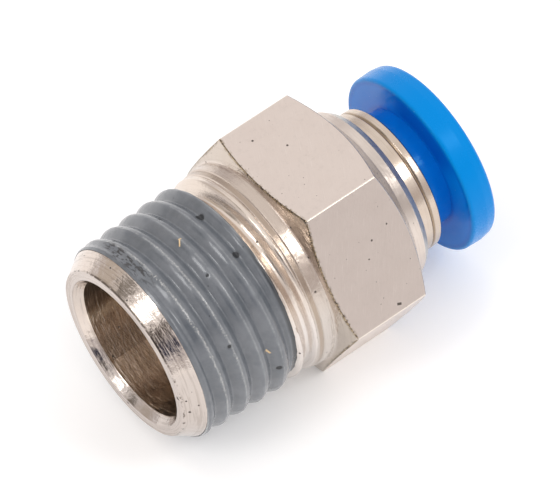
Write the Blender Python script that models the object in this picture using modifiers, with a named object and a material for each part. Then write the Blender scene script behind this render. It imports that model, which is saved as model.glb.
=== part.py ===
"""Push to connect fitting: straight male connector, R1/4 taper thread to 6 mm tube.

+X runs along the fitting's axis, from the thread's mouth to the release ring.
+Z is the outward normal of one hexagon flat. The origin is the middle of the length, on the axis.
Every outline below is written as (station, radius): station is the distance from the mouth.
"""
import math

import bmesh
import bpy
from mathutils import Matrix, Vector

MM = 0.001

# ---- driving dimensions (millimetres) -------------------------------------------------
TUBE_RADIUS = 3.0
TUBE_CLEARANCE = 0.06
HEX_FLATS = 14.0
LENGTH = 22.75
GAP = 0.05

# how the meshes are made
SEGMENTS = 48
BITE_SEGMENTS = 64
CUTTER_MARGIN = 1.0
STATION_TOLERANCE = 0.01
MERGE_DISTANCE = 1e-6
SHARP_ANGLE = math.radians(30.0)

# mouth and waterway
MOUTH_CHAMFER = [(0.0, 5.52), (0.40, 5.78)]
COUNTERSINK_RADIUS = 4.90
COUNTERSINK_DEPTH = 0.55
WATERWAY_RADIUS = 4.53
WATERWAY_DEPTH = 6.20
ORIFICE_RADIUS = 2.30
ORIFICE_START = 7.45
TUBE_STOP = 8.40
TUBE_BORE_RADIUS = TUBE_RADIUS + TUBE_CLEARANCE
CARTRIDGE_START = 10.95
CARTRIDGE_RADIUS = 4.53

# R1/4 taper thread
THREAD_PITCH = 1.337
THREAD_DEPTH = 0.856
THREAD_TAPER = 1.0 / 32.0
THREAD_CREST_RADIUS = 6.43
THREAD_CREST_STATION = 6.0
THREAD_START = 1.16
THREAD_START_RADIUS = 6.20
THREAD_FULL = 2.10
THREAD_ROWS = 29
ROWS_PER_PITCH = 5
THREAD_LEAD_IN_SLOPE = 0.64
CREST_PHASE_STATION = 2.235
CREST_PHASE_ANGLE = math.radians(214.0)

# sealant coat on the thread
SEALANT_ROWS = 24
SEALANT_FILM = 0.12
SEALANT_WAVE = 0.36
SEALANT_CLEARANCE = 0.04
SEALANT_EDGE = 0.08
SEALANT_BLANK_OUTER = 6.5
SEALANT_BLANK_INNER = 6.0

# collar, hexagon and boss
COLLAR_START = 9.00
COLLAR_STEP = 9.42
COLLAR_RADIUS = 6.64
COLLAR_STEP_LENGTH = 0.05
COLLAR_STEP_RADIUS = COLLAR_RADIUS - 0.06
COLLAR_NECK_RADIUS = COLLAR_RADIUS - 0.12
HEX_BLANK_MARGIN = 0.12
HEX_FRONT_CORNER = 10.70
HEX_FRONT_SLOPE = 2.70
HEX_REAR_CORNER = 15.64
HEX_REAR_SLOPE = 1.77
BOSS_RADIUS = 5.64
BOSS_END = 18.06
BOSS_EDGE = 0.38

# lip seal
SEAL_START = CARTRIDGE_START + 0.10
SEAL_END = 12.50
SEAL_RADIUS = 4.48
SEAL_OUTER_LIP_RADIUS = 4.18
SEAL_GROOVE_DEPTH = 0.85
SEAL_GROOVE_OUTER_RADIUS = 3.98
SEAL_GROOVE_INNER_RADIUS = 3.66
SEAL_INNER_LIP_SETBACK = 0.05
SEAL_INNER_LIP_RADIUS = 3.38
SEAL_WIPER_SETBACK = 0.12
SEAL_WIPER_RADIUS = TUBE_RADIUS - 0.07
SEAL_THROAT_SETBACK = 0.50
SEAL_THROAT_RADIUS = TUBE_RADIUS + 0.04
SEAL_BACK_RADIUS = TUBE_RADIUS + 0.20

# back ring
BACK_RING_START = SEAL_END + GAP
BACK_RING_END = 14.15
BACK_RING_BORE = TUBE_RADIUS + 0.10
BACK_RING_EDGE = 0.10
BACK_RING_LIP_END = 12.90
BACK_RING_POCKET_START = 12.95
BACK_RING_POCKET_RADIUS = 3.85
BACK_RING_REAR_BORE = 4.20

# claw
CLAW_START = BACK_RING_END + GAP
CLAW_THICKNESS = 0.30
CLAW_RADIUS = 4.48
CLAW_HOLE_APOTHEM = 3.93
TOOTH_COUNT = 8
TOOTH_HINGE_RADIUS = 3.75
TOOTH_LENGTH = 1.30
TOOTH_BASE_WIDTH = 2.30
TOOTH_TIP_WIDTH = 1.90
TOOTH_ANGLE = math.radians(45.0)
TOOTH_BITE_RADIUS = TUBE_RADIUS - 0.10
TOOTH_BITE_LENGTH = 2.0

# guide ring
GUIDE_START = CLAW_START + CLAW_THICKNESS + GAP
GUIDE_SLEEVE_RADIUS = 4.50
GUIDE_SHOULDER = 16.90
GUIDE_WIDE_BORE = 4.20
GUIDE_BORE = 3.90
GUIDE_FLANGE_RADIUS = 4.67
GUIDE_END = 19.60
GUIDE_EDGE = 0.14
GUIDE_GROOVE_STATION = 19.03
GUIDE_GROOVE_DEPTH = 0.09

# release ring
RELEASE_BORE = TUBE_RADIUS + TUBE_CLEARANCE
RELEASE_STEM_RADIUS = 3.83
RELEASE_LIP_RADIUS = 4.12
RELEASE_LIP_END = GUIDE_SHOULDER - GAP
RELEASE_LIP_LENGTH = 0.40
RELEASE_LIP_RAMP = 0.40
RELEASE_TIP_STATION = 14.60
RELEASE_TIP_RADIUS = 3.22
RELEASE_NOSE_TAPER = math.radians(15.0)
RELEASE_FLANGE_START = 20.95
RELEASE_FLANGE_RADIUS = 5.88
RELEASE_FOOT_RADIUS = 3.88
RELEASE_FOOT_SETBACK = 0.03
RELEASE_FOOT_LENGTH = 0.12
RELEASE_RIM_ROUND = 0.35
RELEASE_RIM_STEPS = 4
RELEASE_BACK_ROUND = 0.12
RELEASE_BACK_STEPS = 2
RELEASE_MOUTH_DEPTH = 0.75
RELEASE_MOUTH_RADIUS = 3.75
RELEASE_SLOT_WIDTH = 0.60
RELEASE_SLOT_END = 18.60
RELEASE_SLOTS = {"slot_upright": math.radians(45.0), "slot_level": math.radians(135.0)}
SLOT_BLADE_BREADTH = 12.0

# materials: name, colour, roughness, metallic
NICKEL = ("nickel_plated_brass", (0.78, 0.73, 0.68), 0.24, 1.0)
STEEL = ("spring_steel", (0.62, 0.62, 0.63), 0.28, 1.0)
SEALANT = ("sealant_grey", (0.16, 0.19, 0.21), 0.42, 0.0)
RUBBER = ("nitrile_rubber", (0.02, 0.02, 0.02), 0.60, 0.0)
WHITE_PLASTIC = ("acetal_white", (0.80, 0.79, 0.75), 0.40, 0.0)
BLUE_PLASTIC = ("acetal_blue", (0.0, 0.16, 0.62), 0.32, 0.0)


# ---- scene helpers --------------------------------------------------------------------
def clear_scene():
    for old in list(bpy.data.objects):
        bpy.data.objects.remove(old, do_unlink=True)


def new_collection(name):
    collection = bpy.data.collections.new(name)
    bpy.context.scene.collection.children.link(collection)
    return collection


def new_material(name, colour, roughness, metallic):
    material = bpy.data.materials.new(name)
    material.use_nodes = True
    shader = material.node_tree.nodes["Principled BSDF"]
    shader.inputs["Base Color"].default_value = (*colour, 1.0)
    shader.inputs["Roughness"].default_value = roughness
    shader.inputs["Metallic"].default_value = metallic
    return material


def add_object(name, mesh, collection, material=None):
    obj = bpy.data.objects.new(name, mesh)
    collection.objects.link(obj)
    if material:
        mesh.materials.append(material)
    return obj


def lay_along_axis(obj):
    """Turn a piece made around local +Z so that it runs along +X from the mouth."""
    obj.location = (-LENGTH / 2 * MM, 0.0, 0.0)
    obj.rotation_euler = (0.0, math.pi / 2, 0.0)
    return obj


def turned(name, outline, collection, material):
    """Revolve a closed (station, radius) outline, outer side first, from the rear to the mouth."""
    mesh = bpy.data.meshes.new(name)
    points = [(radius * MM, 0.0, station * MM) for station, radius in outline]
    edges = [(i, (i + 1) % len(points)) for i in range(len(points))]
    mesh.from_pydata(points, edges, [])
    obj = lay_along_axis(add_object(name, mesh, collection, material))
    screw = obj.modifiers.new("Revolve", "SCREW")
    screw.axis = "Z"
    screw.angle = 2 * math.pi
    screw.steps = SEGMENTS
    screw.render_steps = SEGMENTS
    screw.use_merge_vertices = True
    screw.merge_threshold = MERGE_DISTANCE
    screw.use_smooth_shade = True
    return obj


def apply_modifiers(obj):
    """Swap the object's mesh for the evaluated one, so that its points can be moved."""
    graph = bpy.context.evaluated_depsgraph_get()
    solid = bpy.data.meshes.new_from_object(obj.evaluated_get(graph))
    obj.modifiers.clear()
    obj.data = solid
    solid.set_sharp_from_angle(angle=SHARP_ANGLE)
    return solid


def prism(name, sides, radius, start, end, collection, turn=0.0):
    """A cutter along the axis: a regular prism between two stations."""
    form = bmesh.new()
    bmesh.ops.create_cone(
        form, cap_ends=True, segments=sides, radius1=radius * MM, radius2=radius * MM,
        depth=(end - start) * MM,
    )
    spin = Matrix.Rotation(turn, 4, "Z")
    lift = Matrix.Translation((0.0, 0.0, (start + end) / 2 * MM))
    bmesh.ops.transform(form, matrix=lift @ spin, verts=form.verts)
    mesh = bpy.data.meshes.new(name)
    form.to_mesh(mesh)
    form.free()
    return hide_cutter(lay_along_axis(add_object(name, mesh, collection)))


def hide_cutter(obj):
    obj.hide_render = True
    obj.display_type = "WIRE"
    return obj


def boolean(obj, cutter, operation="DIFFERENCE"):
    modifier = obj.modifiers.new(cutter.name, "BOOLEAN")
    modifier.operation = operation
    modifier.solver = "EXACT"
    modifier.object = cutter


def arc(centre_station, centre_radius, radius, start, end, steps):
    """Points of a round edge; angles in degrees, measured from outward towards the rear."""
    points = []
    for i in range(steps + 1):
        angle = math.radians(start + (end - start) * i / steps)
        station = centre_station + radius * math.sin(angle)
        points.append((station, centre_radius + radius * math.cos(angle)))
    return points


# ---- thread form ----------------------------------------------------------------------
def ramp(value, low, high):
    share = min(max((value - low) / (high - low), 0.0), 1.0)
    return share * share * (3.0 - 2.0 * share)


def crest_radius(station):
    return THREAD_CREST_RADIUS + (station - THREAD_CREST_STATION) * THREAD_TAPER


def thread_wave(station, angle):
    """0 on the crest and 1 in the root of a right-hand thread."""
    turns = (station - CREST_PHASE_STATION) / THREAD_PITCH
    return 0.5 - 0.5 * math.cos(2 * math.pi * turns - (angle - CREST_PHASE_ANGLE))


def thread_radius(station, angle):
    depth = THREAD_DEPTH * ramp(station, THREAD_START, THREAD_FULL)
    threaded = crest_radius(station) - depth * thread_wave(station, angle)
    lead_in = THREAD_START_RADIUS + (station - THREAD_START) * THREAD_LEAD_IN_SLOPE
    return min(threaded, lead_in)


def sealant_radius(station, angle):
    depth = SEALANT_WAVE * ramp(station, THREAD_START, THREAD_FULL)
    coated = crest_radius(station) + SEALANT_FILM - depth * thread_wave(station, angle)
    lead_in = THREAD_START_RADIUS + (station - THREAD_START) * THREAD_LEAD_IN_SLOPE
    return min(coated, lead_in + SEALANT_EDGE)


def thread_stations(rows):
    """Evenly spaced stations from the thread's start, shared by the thread and its coat."""
    return [THREAD_START + THREAD_PITCH / ROWS_PER_PITCH * row for row in range(rows + 1)]


def set_radii(mesh, rule):
    """Move each point to the radius that rule(station, angle, radius) gives, and split the quads."""
    for vertex in mesh.vertices:
        radius = math.hypot(vertex.co.x, vertex.co.y)
        angle = math.atan2(vertex.co.y, vertex.co.x)
        station = vertex.co.z / MM
        wanted = rule(station, angle, radius / MM) * MM
        vertex.co.x *= wanted / radius
        vertex.co.y *= wanted / radius
    form = bmesh.new()
    form.from_mesh(mesh)
    bmesh.ops.triangulate(form, faces=form.faces, quad_method="SHORT_EDGE")
    form.to_mesh(mesh)
    form.free()


# ---- pieces ---------------------------------------------------------------------------
def make_body(parts, cutters, material):
    """One machined piece: taper thread that runs into a collar, hexagon and boss."""
    corner = HEX_FLATS / 2 / math.cos(math.pi / 6)
    blank = corner + HEX_BLANK_MARGIN
    front_foot = HEX_FRONT_CORNER - (corner - COLLAR_RADIUS) / HEX_FRONT_SLOPE
    front_top = HEX_FRONT_CORNER + (blank - corner) / HEX_FRONT_SLOPE
    rear_top = HEX_REAR_CORNER - (blank - corner) / HEX_REAR_SLOPE
    rear_foot = HEX_REAR_CORNER + (corner - BOSS_RADIUS) / HEX_REAR_SLOPE
    thread = thread_stations(THREAD_ROWS)
    outline = [(BOSS_END, BOSS_RADIUS - BOSS_EDGE), (BOSS_END - BOSS_EDGE, BOSS_RADIUS)]
    outline += [(rear_foot, BOSS_RADIUS), (rear_top, blank), (front_top, blank)]
    outline += [(front_foot, COLLAR_RADIUS), (COLLAR_STEP, COLLAR_RADIUS)]
    outline += [(COLLAR_STEP - COLLAR_STEP_LENGTH, COLLAR_STEP_RADIUS)]
    outline += [(COLLAR_START, COLLAR_NECK_RADIUS)]
    outline += [(station, crest_radius(station)) for station in reversed(thread)]
    outline += list(reversed(MOUTH_CHAMFER))
    outline += [(0.0, COUNTERSINK_RADIUS), (COUNTERSINK_DEPTH, WATERWAY_RADIUS)]
    outline += [(WATERWAY_DEPTH, WATERWAY_RADIUS), (ORIFICE_START, ORIFICE_RADIUS)]
    outline += [(TUBE_STOP, ORIFICE_RADIUS), (TUBE_STOP, TUBE_BORE_RADIUS)]
    outline += [(CARTRIDGE_START, TUBE_BORE_RADIUS), (CARTRIDGE_START, CARTRIDGE_RADIUS)]
    outline += [(BOSS_END, CARTRIDGE_RADIUS)]
    body = turned("body", outline, parts, material)

    def cut_thread(station, angle, radius):
        is_outside = radius > COUNTERSINK_RADIUS
        is_threaded = thread[0] - STATION_TOLERANCE < station < thread[-1] + STATION_TOLERANCE
        return thread_radius(station, angle) if is_outside and is_threaded else radius

    set_radii(apply_modifiers(body), cut_thread)
    hexagon = prism("hexagon_bar", 6, corner, -CUTTER_MARGIN, LENGTH, cutters)
    boolean(body, hexagon, "INTERSECT")
    return body


def make_thread_sealant(parts, material):
    """The soft coat baked on the thread: a wavy sleeve that follows the helix."""
    stations = thread_stations(SEALANT_ROWS)
    outline = [(station, SEALANT_BLANK_OUTER) for station in reversed(stations)]
    outline += [(station, SEALANT_BLANK_INNER) for station in stations]
    sealant = turned("thread_sealant", outline, parts, material)

    def coat(station, angle, radius):
        if radius > (SEALANT_BLANK_OUTER + SEALANT_BLANK_INNER) / 2:
            return sealant_radius(station, angle)
        return thread_radius(station, angle) + SEALANT_CLEARANCE

    set_radii(apply_modifiers(sealant), coat)
    return sealant


def make_tube_seal(parts, material):
    """Lip seal: its groove faces the pressure, and its inner lip wipes the tube."""
    groove_floor = SEAL_START + SEAL_GROOVE_DEPTH
    outline = [(SEAL_END, SEAL_RADIUS), (SEAL_START, SEAL_RADIUS)]
    outline += [(SEAL_START, SEAL_OUTER_LIP_RADIUS), (groove_floor, SEAL_GROOVE_OUTER_RADIUS)]
    outline += [(groove_floor, SEAL_GROOVE_INNER_RADIUS)]
    outline += [(SEAL_START + SEAL_INNER_LIP_SETBACK, SEAL_INNER_LIP_RADIUS)]
    outline += [(SEAL_START + SEAL_WIPER_SETBACK, SEAL_WIPER_RADIUS)]
    outline += [(SEAL_START + SEAL_THROAT_SETBACK, SEAL_THROAT_RADIUS), (SEAL_END, SEAL_BACK_RADIUS)]
    return turned("tube_seal", outline, parts, material)


def make_back_ring(parts, material):
    """Plastic ring that backs the seal and leaves room for the teeth to swing open."""
    outline = [(BACK_RING_END, CLAW_RADIUS), (BACK_RING_START, CLAW_RADIUS)]
    outline += [(BACK_RING_START, BACK_RING_BORE + BACK_RING_EDGE)]
    outline += [(BACK_RING_START + BACK_RING_EDGE, BACK_RING_BORE), (BACK_RING_LIP_END, BACK_RING_BORE)]
    outline += [(BACK_RING_POCKET_START, BACK_RING_POCKET_RADIUS), (BACK_RING_END, BACK_RING_REAR_BORE)]
    return turned("back_ring", outline, parts, material)


def make_claw_ring(parts, cutters, material):
    """Flat stamped ring that carries the teeth, with an eight-sided hole."""
    end = CLAW_START + CLAW_THICKNESS
    outline = [(end, CLAW_RADIUS), (CLAW_START, CLAW_RADIUS)]
    outline += [(CLAW_START, TUBE_RADIUS), (end, TUBE_RADIUS)]
    ring = turned("claw_ring", outline, parts, material)
    half_step = math.pi / TOOTH_COUNT
    corner = CLAW_HOLE_APOTHEM / math.cos(half_step)
    start, stop = CLAW_START - CUTTER_MARGIN, end + CUTTER_MARGIN
    hole = prism("claw_hole", TOOTH_COUNT, corner, start, stop, cutters, turn=half_step)
    boolean(ring, hole)
    return ring


def tooth_mesh():
    """A tapered tab from its hinge line inwards, in a frame of axial X, tangent Y, radial Z."""
    form = bmesh.new()
    bmesh.ops.create_cube(form, size=1.0)
    for vertex in form.verts:
        at_tip = vertex.co.x < 0.0
        width = TOOTH_TIP_WIDTH if at_tip else TOOTH_BASE_WIDTH
        along = -TOOTH_LENGTH if at_tip else 0.0
        vertex.co = Vector((along, vertex.co.y * width, vertex.co.z * CLAW_THICKNESS)) * MM
    bmesh.ops.rotate(form, verts=form.verts, cent=(0.0, 0.0, 0.0),
                     matrix=Matrix.Rotation(-TOOTH_ANGLE, 3, "Y"))
    mesh = bpy.data.meshes.new("claw_tooth")
    form.to_mesh(mesh)
    form.free()
    return mesh


def make_claw_teeth(parts, cutters, material):
    """Eight spring teeth around the ring, their tips hollowed to the tube's curve."""
    mesh = tooth_mesh()
    mesh.materials.append(material)
    hinge_station = CLAW_START + CLAW_THICKNESS / 2
    bite_start = hinge_station - TOOTH_BITE_LENGTH
    bite = prism("bite_circle", BITE_SEGMENTS, TOOTH_BITE_RADIUS, bite_start, hinge_station, cutters)
    for number in range(TOOTH_COUNT):
        around = 2 * math.pi * number / TOOTH_COUNT
        side, up = TOOTH_HINGE_RADIUS * math.cos(around), TOOTH_HINGE_RADIUS * math.sin(around)
        tooth = add_object(f"claw_tooth_{number + 1}", mesh, parts)
        tooth.location = Vector((hinge_station - LENGTH / 2, side, up)) * MM
        tooth.rotation_euler = (around - math.pi / 2, 0.0, 0.0)
        boolean(tooth, bite)


def make_guide_ring(parts, material):
    """Metal ring in the boss: it closes the cartridge, and its shoulder keeps the release ring in."""
    flange_start = BOSS_END + GAP
    outline = [(GUIDE_END, GUIDE_FLANGE_RADIUS - GUIDE_EDGE)]
    outline += [(GUIDE_END - GUIDE_EDGE, GUIDE_FLANGE_RADIUS)]
    outline += [(GUIDE_GROOVE_STATION + GUIDE_GROOVE_DEPTH, GUIDE_FLANGE_RADIUS)]
    outline += [(GUIDE_GROOVE_STATION, GUIDE_FLANGE_RADIUS - GUIDE_GROOVE_DEPTH)]
    outline += [(GUIDE_GROOVE_STATION - GUIDE_GROOVE_DEPTH, GUIDE_FLANGE_RADIUS)]
    outline += [(flange_start, GUIDE_FLANGE_RADIUS), (flange_start, GUIDE_SLEEVE_RADIUS)]
    outline += [(GUIDE_START, GUIDE_SLEEVE_RADIUS), (GUIDE_START, GUIDE_WIDE_BORE)]
    outline += [(GUIDE_SHOULDER, GUIDE_WIDE_BORE), (GUIDE_SHOULDER, GUIDE_BORE)]
    outline += [(GUIDE_END, GUIDE_BORE)]
    return turned("guide_ring", outline, parts, material)


def make_release_ring(parts, cutters, material):
    """Plastic collet ring: flange to push, stem with a snap lip, and a nose that opens the teeth."""
    rim_centre = RELEASE_FLANGE_RADIUS - RELEASE_RIM_ROUND
    back_centre = RELEASE_FLANGE_RADIUS - RELEASE_BACK_ROUND
    foot_top = RELEASE_FLANGE_START - RELEASE_FOOT_SETBACK
    lip_front = RELEASE_LIP_END - RELEASE_LIP_LENGTH
    ramp_foot = lip_front - RELEASE_LIP_RAMP
    nose_length = ramp_foot - RELEASE_TIP_STATION
    nose_back = RELEASE_TIP_RADIUS + nose_length * math.tan(RELEASE_NOSE_TAPER)
    outline = arc(LENGTH - RELEASE_RIM_ROUND, rim_centre, RELEASE_RIM_ROUND, 90, 0, RELEASE_RIM_STEPS)
    outline += arc(RELEASE_FLANGE_START + RELEASE_BACK_ROUND, back_centre, RELEASE_BACK_ROUND,
                   0, -90, RELEASE_BACK_STEPS)
    outline += [(foot_top, RELEASE_FOOT_RADIUS), (foot_top - RELEASE_FOOT_LENGTH, RELEASE_STEM_RADIUS)]
    outline += [(RELEASE_LIP_END, RELEASE_STEM_RADIUS), (RELEASE_LIP_END, RELEASE_LIP_RADIUS)]
    outline += [(lip_front, RELEASE_LIP_RADIUS), (ramp_foot, nose_back)]
    outline += [(RELEASE_TIP_STATION, RELEASE_TIP_RADIUS), (RELEASE_TIP_STATION, RELEASE_BORE)]
    outline += [(LENGTH - RELEASE_MOUTH_DEPTH, RELEASE_BORE), (LENGTH, RELEASE_MOUTH_RADIUS)]
    ring = turned("release_ring", outline, parts, material)
    for name, turn in RELEASE_SLOTS.items():
        boolean(ring, make_slot(name, turn, cutters))
    return ring


def make_slot(name, turn, cutters):
    """A thin blade through the axis: it parts the nose and stem into spring legs."""
    form = bmesh.new()
    bmesh.ops.create_cube(form, size=1.0)
    length = RELEASE_SLOT_END - RELEASE_TIP_STATION + CUTTER_MARGIN
    middle = RELEASE_SLOT_END - length / 2
    size = Matrix.Diagonal((SLOT_BLADE_BREADTH * MM, RELEASE_SLOT_WIDTH * MM, length * MM, 1.0))
    place = Matrix.Translation((0.0, 0.0, middle * MM)) @ Matrix.Rotation(turn, 4, "Z")
    bmesh.ops.transform(form, matrix=place @ size, verts=form.verts)
    mesh = bpy.data.meshes.new(name)
    form.to_mesh(mesh)
    form.free()
    return hide_cutter(lay_along_axis(add_object(name, mesh, cutters)))


def main():
    clear_scene()
    parts = new_collection("push_to_connect_fitting")
    cutters = new_collection("cutters")
    nickel = new_material(*NICKEL)
    steel = new_material(*STEEL)

    make_body(parts, cutters, nickel)
    make_thread_sealant(parts, new_material(*SEALANT))
    make_tube_seal(parts, new_material(*RUBBER))
    make_back_ring(parts, new_material(*WHITE_PLASTIC))
    make_claw_ring(parts, cutters, steel)
    make_claw_teeth(parts, cutters, steel)
    make_guide_ring(parts, nickel)
    make_release_ring(parts, cutters, new_material(*BLUE_PLASTIC))


main()
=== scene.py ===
import math

import bmesh
import bpy
import numpy as np
from mathutils import Matrix, Vector, noise


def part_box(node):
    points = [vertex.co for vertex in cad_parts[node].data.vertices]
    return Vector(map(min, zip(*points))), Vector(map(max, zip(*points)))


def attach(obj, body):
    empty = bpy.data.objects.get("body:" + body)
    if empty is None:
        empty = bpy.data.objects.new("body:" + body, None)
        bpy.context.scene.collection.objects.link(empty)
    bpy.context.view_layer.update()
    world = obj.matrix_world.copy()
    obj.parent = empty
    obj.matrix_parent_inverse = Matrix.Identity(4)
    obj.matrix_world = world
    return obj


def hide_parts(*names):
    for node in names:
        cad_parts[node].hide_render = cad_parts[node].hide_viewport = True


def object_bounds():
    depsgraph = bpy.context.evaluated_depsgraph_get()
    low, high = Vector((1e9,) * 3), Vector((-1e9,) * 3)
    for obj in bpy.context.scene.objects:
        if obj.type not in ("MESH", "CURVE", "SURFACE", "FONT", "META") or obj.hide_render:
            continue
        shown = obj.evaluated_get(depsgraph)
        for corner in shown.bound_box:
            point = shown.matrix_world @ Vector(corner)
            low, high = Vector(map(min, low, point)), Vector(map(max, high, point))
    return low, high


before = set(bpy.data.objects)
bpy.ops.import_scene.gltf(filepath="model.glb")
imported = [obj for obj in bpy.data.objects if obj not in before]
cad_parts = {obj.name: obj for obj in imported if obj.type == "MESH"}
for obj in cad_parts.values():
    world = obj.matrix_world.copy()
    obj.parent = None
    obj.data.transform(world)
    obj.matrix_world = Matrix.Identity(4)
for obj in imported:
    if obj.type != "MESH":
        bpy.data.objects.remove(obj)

# Looks of the push to connect fitting. Outlines are in millimetres: station is the distance from
# the thread's mouth along +X, radius is from the axis, and angle turns about +X from the mark line,
# which is the direction that faces up and towards the near side.
MM = 0.001
cad_low, cad_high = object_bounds()
body_low, body_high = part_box("body")
guide_low, guide_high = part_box("guide_ring")
release_low, release_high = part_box("release_ring")
seal_low, seal_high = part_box("tube_seal")
back_low, back_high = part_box("back_ring")
claw_low, claw_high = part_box("claw_ring")
coat_low, coat_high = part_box("thread_sealant")

MOUTH_X = body_low.x
MARK_ANGLE = math.radians(124.0)


def station_of(x):
    return (x - MOUTH_X) / MM


LENGTH = station_of(cad_high.x)
HEX_RADIUS = body_high.z / MM
BOSS_END = station_of(body_high.x)
GUIDE_END = station_of(guide_high.x)
GUIDE_START = station_of(guide_low.x)
GUIDE_FLANGE_RADIUS = guide_high.z / MM
RELEASE_TIP = station_of(release_low.x)
RELEASE_RADIUS = release_high.z / MM
COAT_START = station_of(coat_low.x)
COAT_END = station_of(coat_high.x)

# thread form, as the frame has it
PITCH = 1.337
THREAD_DEPTH = 0.856
TAPER = 1.0 / 32.0
CREST_RADIUS = 6.43
CREST_STATION = 6.0
CREST_PHASE = 2.235
THREAD_FULL = 2.10
THREAD_START_RADIUS = 6.20
LEAD_IN_SLOPE = 0.64
RUNOUT_SHALLOWING = 0.38
RUNOUT_FADE = (7.5, 8.3)
RUNOUT_START = 8.35
RUNOUT_STEP = 0.04
ROWS_PER_PITCH = 12

# sealant coat
COAT_FILM = 0.12
COAT_WAVE = 0.38
COAT_LEAD_IN_FILM = 0.08
COAT_CLEARANCE = 0.04
COAT_THINNEST = 0.02
VALLEY_ROUND = 0.16
CREST_RIDGE = 0.014
CREST_RIDGE_WIDTH = 0.04
COAT_ROWS_PER_PITCH = 24
COAT_COLUMNS = 360
COAT_OVERHANG = 0.03
END_FILM = 0.11
END_THINNING = 0.34
END_DROP = 0.09
END_DROP_WIDTH = 0.06
RAGGED_LENGTH = 0.7
RAGGED_RADIUS = 6.3
PIT_DEPTH = 0.07

# collar, hexagon and boss
COLLAR_START = 9.00
COLLAR_STEP = 9.42
COLLAR_RADIUS = 6.64
SHOULDER_LENGTH = 0.42
SHOULDER_END = 0.02
SHOULDER_DROP = 0.04
RIDGE_SETBACK = 0.13
RIDGE_SIZE = 0.035
HEX_FRONT_CORNER = 10.70
HEX_FRONT_SLOPE = 2.70
HEX_REAR_CORNER = 15.64
HEX_REAR_SLOPE = 1.77
BOSS_RADIUS = 5.64
BOSS_CHAMFER = 0.42
HEX_CORNER = HEX_RADIUS / math.cos(math.pi / 6)
FRONT_FOOT = HEX_FRONT_CORNER - (HEX_CORNER - COLLAR_RADIUS) / HEX_FRONT_SLOPE
REAR_FOOT = HEX_REAR_CORNER + (HEX_CORNER - BOSS_RADIUS) / HEX_REAR_SLOPE
CORNER_CUT = 0.019
FLAT_SPAN = (10.0, 16.4)
FLAT_TOLERANCE = 0.002
BEND_SPAN = (10.1, 16.6)
BEND_REACH = 0.09
EDGE_WEAR = 1.2
EDGE_CALM = 1.1
EDGE_CALM_FADE = (13.4, 14.2)
# degrees from a corner of the hexagon, and between columns
CORNER_HALF_ANGLE = 0.42
CLEAR_OF_CORNER = 0.8
BODY_COLUMN_STEP = 1.25
CORNER_COLUMNS = (-0.95, -0.62, -0.46, -0.38, 0.0, 0.38, 0.46, 0.62, 0.95)
CLOSEST_COLUMNS = 0.06

# inside of the body
CARTRIDGE_START = 10.95
CARTRIDGE_RADIUS = 4.53
TUBE_STOP = 8.40
TUBE_HOLE_RADIUS = 3.06
PASSAGE_START = 7.45
PASSAGE_RADIUS = 2.30
BORE_END = 6.20
BORE_RADIUS = 4.53
BORE_CHAMFER = 0.55

# parts that sit in the socket
SOCKET_PART_RADIUS = 4.48
SLEEVE_RADIUS = 4.50
GUIDE_SHOULDER = 16.90
GUIDE_WIDE_BORE = 4.20
GUIDE_BORE = 3.90
GUIDE_GROOVE = GUIDE_END - 0.57
GUIDE_GROOVE_DEPTH = 0.10
GUIDE_GROOVE_HALF = 0.12
CLAW_HOLE = 3.93
CLAW_HOLE_ROUND = 0.05
CLAW_COLUMNS = 240
TOOTH_COUNT = 8
TOOTH_THICKNESS = 0.30
TOOTH_LENGTH = 1.30
TOOTH_HINGE_RADIUS = 3.75
TOOTH_BITE_RADIUS = 2.90
TOOTH_TILT = math.radians(45.0)
TOOTH_ROOT_WIDTH = 2.30
TOOTH_TIP_WIDTH = 1.90
TOOTH_CROWN = 0.03
TOOTH_BEVEL = 0.03
TOOTH_ROWS = 7
TOOTH_COLUMNS = 11

# release ring
STEM_RADIUS = 3.83
LIP_RADIUS = 4.12
LIP_END = 16.85
FLANGE_BACK = 20.95
RELEASE_BORE = 3.06
RELEASE_MOUTH_RADIUS = 3.75
SLOT_END = 18.60
SLOT_WIDTH = 0.60
SLOT_TURNS = (45.0, 135.0)
SLOT_LEAD = 1.0
SLOT_BLADE_BREADTH = 12.0

# waves on surfaces: scale per mm, seed, height in mm
SKIN_DEPTH = 0.006
SKIN_WAVE = (0.8, 6, SKIN_DEPTH)
MOUTH_WAVE = (3.0, 8, 0.010)
EDGE_WAVES = ((5.0, 2, 0.016), (11.0, 4, 0.008))
COAT_WAVES = ((1.1, 3, 0.014), (3.2, 5, 0.007))
RAGGED_WAVE = (0.9, 7, 0.09)

# hollows: station, degrees from the mark line, size, depth
RIM_MARKS = ((0.62, 61.0, 0.12, 0.04), (0.15, 22.0, 0.09, 0.03),
             (0.30, 150.0, 0.10, 0.03), (0.75, -9.0, 0.10, 0.02))
COAT_PITS = ((6.7, -41.0, 0.20, 0.07), (6.75, -11.0, 0.18, 0.07), (5.05, -56.0, 0.10, 0.05),
             (3.57, 27.0, 0.11, 0.05), (6.2, 59.0, 0.15, 0.06), (4.6, -10.0, 0.10, 0.04),
             (6.4, -77.0, 0.13, 0.06), (2.35, -64.0, 0.13, 0.05), (4.2, 170.0, 0.12, 0.06),
             (6.0, -140.0, 0.10, 0.05), (3.1, 118.0, 0.11, 0.05))


# ---- numbers --------------------------------------------------------------------------
def ramp(value, low, high):
    share = np.clip((value - low) / (high - low), 0.0, 1.0)
    return share * share * (3.0 - 2.0 * share)


def inside(value, span):
    return (value > span[0]) & (value < span[1])


def bell(value, width):
    return np.exp(-(value / width) ** 2)


def crest_radius(station):
    return CREST_RADIUS + (station - CREST_STATION) * TAPER


def helix_turns(station, angle):
    """Whole numbers on the crest line, halves in the root."""
    return (station - CREST_PHASE) / PITCH - angle / (2 * math.pi)


def thread_wave(station, angle):
    return 0.5 - 0.5 * np.cos(2 * math.pi * helix_turns(station, angle))


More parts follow.
